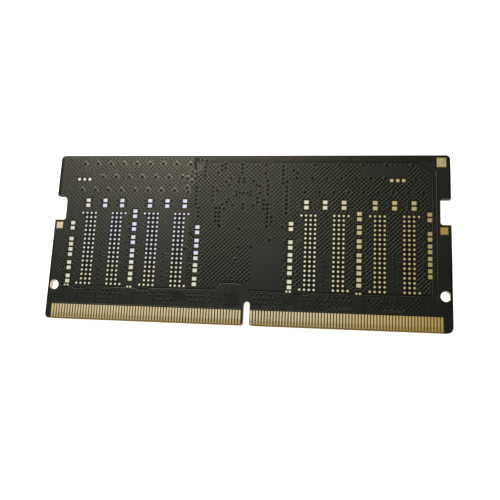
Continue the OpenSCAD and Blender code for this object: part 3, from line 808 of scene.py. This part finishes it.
land_gaps = [(box[0] - SMALL_LAND_ROOM, box[2] + SMALL_LAND_ROOM)
             for box in solids("upper_resistor_lands")]
# The groove along the border is a dark strip: partly the mask over the etched gap, partly painted shade
# along the border's step.
groove = [[(x, y + GROOVE_ASIDE) for x, y in line] for line in stretches(BORDER, land_gaps)]
strips("border_groove", groove, GAP_RISE, GROOVE_W, via_mask_with_painted_shade)

# Between the border and the contacts narrow gaps cut the copper into fields, and a few of the
# fields are a flat net. Each gap has its place along the board and the room it is cut in.
FINGER_GAPS = [(4.2, 0.6), (5.7, 0.4), (8.9, 0.5), (11.5, 0.6), (13.5, 0.4), (15.8, 0.7), (19.6, 0.6),
               (21.7, 0.5), (26.9, 0.5), (28.4, 0.4), (31.3, 0.5), (33.0, 0.4), (38.2, 0.4), (40.6, 0.5),
               (42.6, 0.4), (45.6, 0.5), (48.3, 0.4), (51.0, 0.6), (53.2, 0.4), (55.3, 0.6), (59.1, 0.6),
               (61.3, 0.5), (65.0, 0.5)]
FINGER_SHARE = 0.5
OPENING_RISE = 0.002
FINGER_LOW = 3.0
FINGER_HIGH = 5.0
LOW_FIELDS = [(22.3, 3.2, 25.2, 5.5), (32.0, 3.2, 34.6, 5.4), (41.9, 3.1, 44.6, 5.1),
              (47.2, 3.1, 50.2, 5.0), (56.5, 3.1, 58.6, 5.4), (62.2, 3.1, 64.6, 5.3)]
LOW_NET_RISE = 0.009
LOW_NET_BASE = 0.3
LOW_OPENING_R = 0.13
LOW_OPENING_RISE = 0.006
for width in sorted({width for x, width in FINGER_GAPS}):
    gaps = [[(x, FINGER_LOW), (x, FINGER_HIGH)] for x, wide in FINGER_GAPS if wide == width]
    strips(f"finger_gaps_{round(width * 10)}", gaps, OPENING_RISE, width * FINGER_SHARE,
           mask_over_laminate, WIDE_SLOPE)
low_rounds = [(place, SMALL_VIA_RIM_R) for place in row_vias]
low_fields = [grown(box, 0) for box in LOW_FIELDS]
low_lines = [line for field in low_fields for line in net_lines(field, 1, [], low_rounds)]
low_openings = [place for field in low_fields for place in net_openings(field, [], low_rounds)]
ridges("low_net", low_lines, upper_z, LOW_NET_RISE, LOW_NET_BASE, NET_TOP, mask)
openings("low_net_openings", low_openings, upper_z, LOW_OPENING_R, LOW_OPENING_RISE, mask_over_laminate)

# Each via has a raised rim of copper under the mask, and the mask sinks into its hole. This is
# drawn as a flat darker plug: partly the thicker ink over the hole, and partly painted shade of
# the dimple. In the top rows of the left third a square pad surrounds the rim.
VIA_RISE = 0.020
SMALL_VIA_RISE = 0.016
RIM_FLANK = 0.09
VIA_HALO_R = 0.74
HALO_FLANK = 0.1
HALO_RISE = 0.006
HALO_RIGHT = 25.5
HALO_LOW = 22.5
SMALL_RIM_FLANK = 0.08
PLUG_RISE = 0.001
halo_vias = [(x, y) for x, y in vias if x < HALO_RIGHT and y > HALO_LOW]
rings("via_halos", halo_vias, upper_z, VIA_R, VIA_HALO_R, HALO_FLANK, HALO_RISE, mask_on_via_lands,
      sides=4)
rings("via_rims", vias, upper_z, VIA_R, VIA_RIM_R, RIM_FLANK, VIA_RISE)
rings("small_via_rims", pad_vias + row_vias, upper_z, SMALL_VIA_R, SMALL_VIA_RIM_R, SMALL_RIM_FLANK,
      SMALL_VIA_RISE)
# The plugs' darkness is partly painted shade of the dimples.
studs("via_plugs", vias, upper_z, VIA_R, VIA_RISE + PLUG_RISE, via_mask_with_painted_shade)
studs("small_via_plugs", ball_vias + pad_vias + row_vias, upper_z, SMALL_VIA_R,
      SMALL_VIA_RISE + PLUG_RISE, via_mask_with_painted_shade)

# Margins. The copper ends short of the routed edge, so the mask is darker in narrow strips
# along it, and in a wider band along the top.
TOP_Y = board_l - 0.1
RIGHT_X = board_w - 0.22
EDGE_STRIPS = [(0.6, (0.32, 22.5), (0.32, 29.4)), (0.14, (0.7, TOP_Y), (board_w - 0.6, TOP_Y)),
               (0.36, (RIGHT_X, 22.5), (RIGHT_X, 29.3)), (0.3, (0.18, 3.2), (0.18, 14.0)),
               (0.36, (RIGHT_X, 3.2), (RIGHT_X, 14.0))]
TOP_MARGIN = [(26.1, 29.24), (66.6, 29.24)]
TOP_MARGIN_W = 0.9
for k, (width, low, high) in enumerate(EDGE_STRIPS):
    strips(f"bare_edge_{k + 1}", [[low, high]], GAP_RISE, width, mask_over_resin,
           z=upper_z - OPENING_RISE * MM)
strips("top_margin", [TOP_MARGIN], OPENING_RISE, TOP_MARGIN_W, mask_over_laminate, WIDE_SLOPE)

# Round each land the copper is cleared away. The mask is darker there, and between it and the
# gold a thin olive line of laminate and of the land's gold flank shows. The line is moved a little
# to the lower right as painted light, where the flank catches the lamps, and it thins on the
# upper left, where shade falls.
CLEARING_OUT = 0.20
CLEARING_IN = -0.02
MOAT_IN = -0.035
MOAT_OUT = 0.05
WIDE_MOAT_IN = -0.09
BALL_COVER = 0.025
BALL_MOAT_SLOPE = 0.01
BALL_MOAT_OUT = 0.05
BALL_CLEARING_R = 0.38
# Painted light: the olive lines round the lands are moved this far to the lower right, the side that catches
# the lamps.
LIT_SIDE_SHIFT = 0.03
MOAT_SINK = 0.012
MOAT_RISE = 0.004
LAND_EDGE_CLOUD = 0.2
LAND_EDGE_DARK = (0.075, 0.055, 0.010)
LAND_EDGE_LIGHT = (0.130, 0.098, 0.022)
flat_lands = pads + small_lands
end_lands = solids("side_lands") + solids("corner_land")
SQUARE_SIDES = ((0, 1), (1, 2), (2, 3), (3, 0))
FRAME_WALLS = ((0, 4), (4, 12), (12, 8), (8, 0))


def frames(name, boxes, inner, outer, low, high, shift, material):
    """A square frame round each box, from inner to outer beyond its sides, between two heights.

    Its outlines are inner low, inner high, outer low and outer high, with four points each.
    """
    points = []
    faces = []
    for box in boxes:
        first = len(points)
        for out in (inner, outer):
            for z in (low, high):
                points += [seat(x + shift, y - shift, z) for x, y in grown(box, out)]
        for k, after in SQUARE_SIDES:
            for a, b in FRAME_WALLS:
                faces.append((first + k + a, first + after + a, first + after + b, first + k + b))
    mesh = bpy.data.meshes.new(name)
    mesh.from_pydata(points, [], faces)
    return kept(name, mesh, material)


def land_edge_finish():
    """Resin at a land's edge, yellowed by the gold flank beside it."""
    material, place = finish("land_edges")
    return surface(
        material,
        Base_Color=place.noise(LAND_EDGE_CLOUD).tint(LAND_EDGE_DARK, LAND_EDGE_LIGHT),
        Roughness=place.noise(GRAIN).about(0.5, 0.2),
        Specular_IOR_Level=0.2)


land_edges = land_edge_finish()
frames("land_clearings", flat_lands + end_lands, CLEARING_IN, CLEARING_OUT, upper_z - OPENING_RISE * MM,
       upper_z + OPENING_RISE * MM, 0, mask_over_resin)
for name, boxes, inner in (("land_moats", flat_lands, MOAT_IN),
                           ("end_land_moats", end_lands, WIDE_MOAT_IN)):
    frames(name, boxes, inner, MOAT_OUT, upper_z - MOAT_SINK * MM, upper_z + MOAT_RISE * MM, LIT_SIDE_SHIFT,
           land_edges)
ball_land_r = (chip_lands[0][0][2] - chip_lands[0][0][0]) / 2
# Painted light: the olive rings round the ball lands are moved half as far to the lower right.
lit_side_ball_moats = [(x + LIT_SIDE_SHIFT / 2, y - LIT_SIDE_SHIFT / 2) for x, y in ball_lands]
rings("ball_land_clearings", ball_lands, upper_z, ball_land_r - BALL_COVER, BALL_CLEARING_R, STRIP_SLOPE,
      OPENING_RISE, mask_over_resin)
rings("ball_land_moats", lit_side_ball_moats, upper_z, ball_land_r - BALL_COVER, ball_land_r + BALL_MOAT_OUT,
      BALL_MOAT_SLOPE, MOAT_RISE, land_edges, "laminate")

# Copper under the lower mask. The net fills what the chips and the small parts leave free,
# and the drilled vias come out here too.
lower_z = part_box("lower_solder_mask")[0].z
LOWER_FIELD = grown((FIELD_IN, FIELD_LOW, board_w - FIELD_IN, board_l - 0.5), 0)
LOWER_PATCHES = [*LEFT_PATCHES, (board_w - 2.6, 3, board_w, 22.6)]
PART_ROOM = 0.45
CHIP_ROOM = 0.3
LOWER_PARTS = ["capacitor_bodies", "large_capacitor_bodies", "resistor_bodies", "resistor_array_bodies",
               "inductor_blocks", "power_chip", "hub_chip"]


def shadow(name):
    """The board millimetres that a CAD node covers."""
    low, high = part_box(name)
    return tuple((corner[axis] - board_low[axis]) / MM for corner in (low, high) for axis in (0, 1))


chip_shadows = [grown(shadow(f"memory_chip_{n}"), CHIP_ROOM) for n in CHIPS]
part_shadows = [grown(box, PART_ROOM) for name in LOWER_PARTS for box in solids(name)]
lower_outs = chip_shadows + part_shadows + [grown(box, PATCH_ROOM) for box in LOWER_PATCHES]
lower_vias = [place for place in vias
              if not any(inside(outline, place) for outline in chip_shadows + part_shadows)]
lower_rounds = [(place, VIA_RIM_R - RIM_LAP) for place in lower_vias]
lower_openings = net_openings(LOWER_FIELD, lower_outs, lower_rounds)
LOWER_OPENING_R = 0.115
LOWER_LINES = {"rising": (-0.022, 0.36), "falling": (-0.012, 0.26)}
net("lower", LOWER_FIELD, lower_z, LOWER_LINES, lower_outs, lower_rounds)
openings("lower_net_openings", lower_openings, lower_z, LOWER_OPENING_R, -GAP_RISE)
rings("lower_via_rims", lower_vias, lower_z, VIA_R, VIA_RIM_R, RIM_FLANK, -VIA_RISE)
rings("lower_small_via_rims", row_vias, lower_z, SMALL_VIA_R, SMALL_VIA_RIM_R, SMALL_RIM_FLANK,
      -SMALL_VIA_RISE)
studs("lower_via_plugs", lower_vias, lower_z, VIA_R, -VIA_RISE - PLUG_RISE, via_mask_with_painted_shade)
studs("lower_small_via_plugs", row_vias, lower_z, SMALL_VIA_R, -SMALL_VIA_RISE - PLUG_RISE, via_mask_with_painted_shade)

# Contacts and lands. Copper plated with nickel and a thin layer of gold, soft and pale where
# it catches the light. The contacts have fine marks along them from use, the square lands at
# the board's ends are a deeper gold, and the corner land is paler.
GOLD_DEEP = (0.90, 0.69, 0.31)
GOLD_PALE = (0.95, 0.77, 0.42)
CONTACT_DEEP = (0.95, 0.67, 0.25)
CONTACT_PALE = (0.99, 0.73, 0.34)
GOLD_LOW_END = (0.66, 0.46, 0.16)
END_GOLD_DEEP = (0.88, 0.56, 0.17)
END_GOLD_PALE = (0.96, 0.66, 0.25)
CORNER_GOLD_DEEP = (0.99, 0.81, 0.52)
CORNER_GOLD_PALE = (1.0, 0.87, 0.62)
GOLD_CLOUD = 0.5
GOLD_RIPPLE = 0.12
GOLD_GRAIN = 0.03
GOLD_RELIEF = 0.003
MARKS_ALONG = 0.04
LOW_END_SHARE = 0.8
LOW_END_FROM, LOW_END_TO = 0.3, 1.1
LIP_FROM, LIP_TO = 0.1, 0.3
LIP_SHARE = 0.55
contacts_low, contacts_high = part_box("upper_contacts")


def gold_finish(name, deep, pale, roughness, marks=1.0, low_end=0.0):
    """Plated gold; marks below 1 draw its grain out along the contacts, and a share above 0 darkens their
    low end to a deeper gold, less in a thin lip at the very bottom.
    """
    material, place = finish(name)
    cloud = place.noise(GOLD_CLOUD, detail=3.0)
    lines = place.stretched(1, marks, 1).noise(GOLD_GRAIN)
    plated = cloud.ramp(0.25, 0.75).tint(deep, pale)
    # Deeper, darker gold towards the contacts' low end, paler again at the very bottom.
    if low_end:
        up = place.along(1) - contacts_low.y / MM
        lip = up.ramp(LIP_FROM, LIP_TO) * (1 - LIP_SHARE) + LIP_SHARE
        plated = ((1 - up.ramp(LOW_END_FROM, LOW_END_TO)) * lip * low_end).over(plated, GOLD_LOW_END)
    return surface(
        material,
        Base_Color=plated,
        Metallic=1.0,
        Roughness=cloud.about(roughness, 0.05),
        Normal=(lines * 0.5 + place.noise(GOLD_RIPPLE) * 0.5).bump(GOLD_RELIEF))


dress(gold_finish("gold_contacts", CONTACT_DEEP, CONTACT_PALE, roughness=0.16, marks=MARKS_ALONG,
                  low_end=LOW_END_SHARE),
      "upper_contacts", "lower_contacts")
dress(gold_finish("gold_lands", GOLD_DEEP, GOLD_PALE, roughness=0.07),
      "upper_capacitor_lands", "lower_capacitor_lands", "upper_resistor_lands", "lower_resistor_lands",
      "test_lands", "lower_part_lands", *CHIP_LANDS, *[f"lower_chip_lands_{n}" for n in CHIPS])
dress(gold_finish("gold_end_lands", END_GOLD_DEEP, END_GOLD_PALE, roughness=0.07), "side_lands")
dress(gold_finish("gold_corner_land", CORNER_GOLD_DEEP, CORNER_GOLD_PALE, roughness=0.12), "corner_land")

# Bare laminate fills the slits between the contacts, and the mask ends in a straight edge
# over their upper ends, on each side of the key notch.
CONTACT_GAP_W = 0.21
CONTACT_GAP_RISE = 0.0025
CONTACT_GAP_SLOPE = 0.01
CONTACT_COVER = 0.14
MASK_EDGE_SINK = 0.05
MASK_EDGE_SLOPE = 0.06
MASK_EDGE_PAST = 0.1
MASK_EDGE_UP = 0.02
KEY_ASIDE = 1.12
contact_boxes = sorted(solids("upper_contacts"))
contact_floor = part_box("circuit_board")[1].z
gap_height = (contacts_high.z - contact_floor) / MM + CONTACT_GAP_RISE
gap_lines = [[((left[2] + right[0]) / 2, y) for y in (left[1], left[3])]
             for left, right in zip(contact_boxes, contact_boxes[1:])
             if right[0] - left[2] < CONTACT_GAP_W]
strips("contact_gaps", gap_lines, gap_height, CONTACT_GAP_W, laminate, CONTACT_GAP_SLOPE, contact_floor)
key_x = board_w / 2 + KEY_ASIDE
for side, block in (("left", [box for box in contact_boxes if box[0] < key_x]),
                    ("right", [box for box in contact_boxes if box[0] > key_x])):
    edge_y = max(box[3] for box in block) + MASK_EDGE_UP
    ends = (min(box[0] for box in block) - MASK_EDGE_PAST, max(box[2] for box in block) + MASK_EDGE_PAST)
    strips(f"contact_mask_edge_{side}", [[(x, edge_y) for x in ends]], MASK_EDGE_SINK + OPENING_RISE,
           CONTACT_COVER * 2 + MASK_EDGE_SLOPE, mask, MASK_EDGE_SLOPE, upper_z - MASK_EDGE_SINK * MM)

# Memory chips. A black epoxy body, moulded on a thin carrier plate of green laminate,
# which stands on the board by its solder balls.
MOULDING_DARK = (0.010, 0.010, 0.011)
MOULDING_LIGHT = (0.022, 0.022, 0.023)
MOULDING_CLOUD = 2.0
MOULDING_GRAIN = 0.06
MOULDING_RELIEF = 0.008
CARRIER_PITCH = 0.4
CARRIER_CLOUD = 0.3
CARRIER_GRAIN = 0.2
CARRIER_RIPPLE = 0.08
CARRIER_RELIEF = 0.003
CARRIER_DARK = (0.010, 0.030, 0.014)
CARRIER_LIGHT = (0.022, 0.062, 0.030)
SOLDER_DARK = (0.50, 0.50, 0.50)
SOLDER_LIGHT = (0.74, 0.73, 0.71)
METAL_RELIEF = 0.004


def moulding_finish():
    material, place = finish("moulding")
    grain = place.noise(MOULDING_GRAIN, detail=3.0)
    return surface(
        material,
        Base_Color=(grain * 0.7 + place.noise(MOULDING_CLOUD) * 0.3).tint(MOULDING_DARK, MOULDING_LIGHT),
        Roughness=grain.about(0.55, 0.2),
        Normal=grain.bump(MOULDING_RELIEF))


def carrier_finish():
    material, place = finish("carrier")
    weave = place.along(0).stripes(CARRIER_PITCH) * place.along(1).stripes(CARRIER_PITCH)
    return surface(
        material,
        Base_Color=(weave * 0.5 + place.noise(CARRIER_CLOUD) * 0.5).tint(CARRIER_DARK, CARRIER_LIGHT),
        Roughness=place.noise(CARRIER_GRAIN).about(0.425, 0.15),
        Normal=place.noise(CARRIER_RIPPLE).bump(CARRIER_RELIEF))


def metal_finish(name, dark, light, roughness, blotch):
    """Dull metal with blotches of a size in millimetres, and a finer relief."""
    material, place = finish(name)
    cloud = place.noise(blotch, detail=3.0)
    return surface(
        material,
        Base_Color=cloud.ramp(0.3, 0.7).tint(dark, light),
        Metallic=1.0,
        Roughness=cloud.about(roughness, 0.2),
        Normal=place.noise(blotch / 3).bump(METAL_RELIEF))


moulding = moulding_finish()
carrier = carrier_finish()
solder = metal_finish("solder", SOLDER_DARK, SOLDER_LIGHT, roughness=0.3, blotch=0.2)
for n in CHIPS:
    dress(moulding, f"memory_chip_{n}")
    dress(carrier, f"chip_carrier_{n}")
    dress(solder, f"solder_balls_{n}")

# Power chip, hub chip and inductors, in the middle of the lower face: moulded chips with
# tinned terminals, and pressed ferrite blocks on tinned shoes.
TIN_DARK = (0.58, 0.57, 0.54)
TIN_LIGHT = (0.80, 0.79, 0.76)
FERRITE_DARK = (0.045, 0.045, 0.048)
FERRITE_LIGHT = (0.110, 0.110, 0.112)


def speckled_finish(name, dark, light, speck, roughness, relief):
    """Pressed powder with specks of a size in millimetres."""
    material, place = finish(name)
    grain = place.noise(speck, detail=4.0)
    return surface(
        material,
        Base_Color=grain.ramp(0.3, 0.7).tint(dark, light),
        Roughness=grain.about(roughness, 0.15),
        Normal=grain.bump(relief))


tin = metal_finish("tin", TIN_DARK, TIN_LIGHT, roughness=0.42, blotch=0.12)
dress(moulding, "power_chip", "hub_chip")
dress(tin, "power_chip_terminals", "hub_chip_terminals", "inductor_shoes")
dress(speckled_finish("ferrite", FERRITE_DARK, FERRITE_LIGHT, speck=0.08, roughness=0.6, relief=0.01),
      "inductor_blocks")

# Small parts on the lower face: brown ceramic capacitors and black glazed resistors,
# each between two tinned ends.
CERAMIC_DARK = (0.26, 0.165, 0.085)
CERAMIC_LIGHT = (0.40, 0.27, 0.155)
ALUMINA_DARK = (0.62, 0.61, 0.57)
ALUMINA_LIGHT = (0.72, 0.71, 0.68)
GLAZE = (0.012, 0.012, 0.013)
GLAZE_FROM, GLAZE_TO = 0.03, 0.05
GLAZE_CLOUD = 0.15
GLAZE_RIPPLE = 0.08
GLAZE_RELIEF = 0.003


def resistor_finish(node, name):
    """White ceramic with a black glaze on the outer face."""
    material, place = finish(name)
    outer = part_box(node)[0].z / MM
    glaze = 1 - place.along(2).ramp(outer + GLAZE_FROM, outer + GLAZE_TO)
    return surface(
        material,
        Base_Color=glaze.over(place.noise(GRAIN).tint(ALUMINA_DARK, ALUMINA_LIGHT), GLAZE),
        Roughness=place.noise(GLAZE_CLOUD).about(0.35, 0.1),
        Normal=place.noise(GLAZE_RIPPLE).bump(GLAZE_RELIEF))


dress(speckled_finish("ceramic", CERAMIC_DARK, CERAMIC_LIGHT, speck=0.1, roughness=0.5, relief=0.004),
      "capacitor_bodies", "large_capacitor_bodies")
dress(tin, "capacitor_ends", "large_capacitor_ends", "resistor_ends", "resistor_array_ends")
dress(resistor_finish("resistor_bodies", "resistor"), "resistor_bodies")
dress(resistor_finish("resistor_array_bodies", "resistor_array"), "resistor_array_bodies")

# Solder joints of the small parts. Melted solder climbs the tinned ends and runs out to the
# edges of their lands in a hollow curve.
SOLDER_EDGE = 0.02
SOLDER_STEPS = (1.0, 0.7, 0.45, 0.25, 0.1, 0.0)
SOLDER_SHARE = 0.62
SOLDER_SINK = 0.005
SOLDER_LIFT = 0.004
lower_land_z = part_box("lower_part_lands")[0].z
lower_lands = [box for name in ("lower_capacitor_lands", "lower_resistor_lands", "lower_part_lands")
               for box in solids(name)]


def reach(box, way):
    """How far a box reaches along one of the four directions."""
    return max(box[0] * way[0], box[2] * way[0]) + max(box[1] * way[1], box[3] * way[1])


def joint(end, body):
    """The outline of one joint at each of its heights, from the land up to the part."""
    x, y = middle(end)
    ways = ((-1, 0), (1, 0), (0, -1), (0, 1))
    way = min(ways, key=lambda aim: reach(body, aim) - (x * aim[0] + y * aim[1]))
    beside = (-way[1], way[0])
    land = next(box for box in lower_lands if box[0] < x < box[2] and box[1] < y < box[3])
    run_out = reach(land, way) - reach(end, way) - SOLDER_EDGE
    run_aside = reach(land, beside) - reach(end, beside) - SOLDER_EDGE
    forward = reach(end, way) - (x * way[0] + y * way[1])
    half_width = reach(end, beside) - (x * beside[0] + y * beside[1])
    outlines = []
    for step in SOLDER_STEPS:
        far = forward + run_out * step
        wide = half_width + run_aside * step
        corners = ((0, -wide), (far, -wide), (far, wide), (0, wide))
        outlines.append([(x + a * way[0] + b * beside[0], y + a * way[1] + b * beside[1])
                         for a, b in corners])
    return outlines


def joints(name, ends, bodies):
    """Solder at each end of the parts of one node."""
    height = (lower_land_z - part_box(ends)[0].z) * SOLDER_SHARE
    heights = [-SOLDER_SINK * MM]
    heights += [height * (1 - step) ** 2 + SOLDER_LIFT * MM for step in SOLDER_STEPS]
    body_boxes = solids(bodies)
    points = []
    faces = []
    for end in solids(ends):
        body = min(body_boxes, key=lambda box: math.dist(middle(box), middle(end)))
        outlines = joint(end, body)
        first = len(points)
        for level, outline in zip(heights, outlines[:1] + outlines):
            points += [seat(x, y, lower_land_z - level) for x, y in outline]
        faces.append(tuple(range(first, first + 4)))
        faces.append(tuple(range(len(points) - 4, len(points))))
        for start in range(first, len(points) - 4, 4):
            for k, after in SQUARE_SIDES:
                faces.append((start + k, start + after, start + 4 + after, start + 4 + k))
    mesh = bpy.data.meshes.new(name)
    mesh.from_pydata(points, [], faces)
    return kept(name, mesh, solder)


for part in ("capacitor", "large_capacitor", "resistor", "resistor_array"):
    joints(f"{part}_joints", f"{part}_ends", f"{part}_bodies")
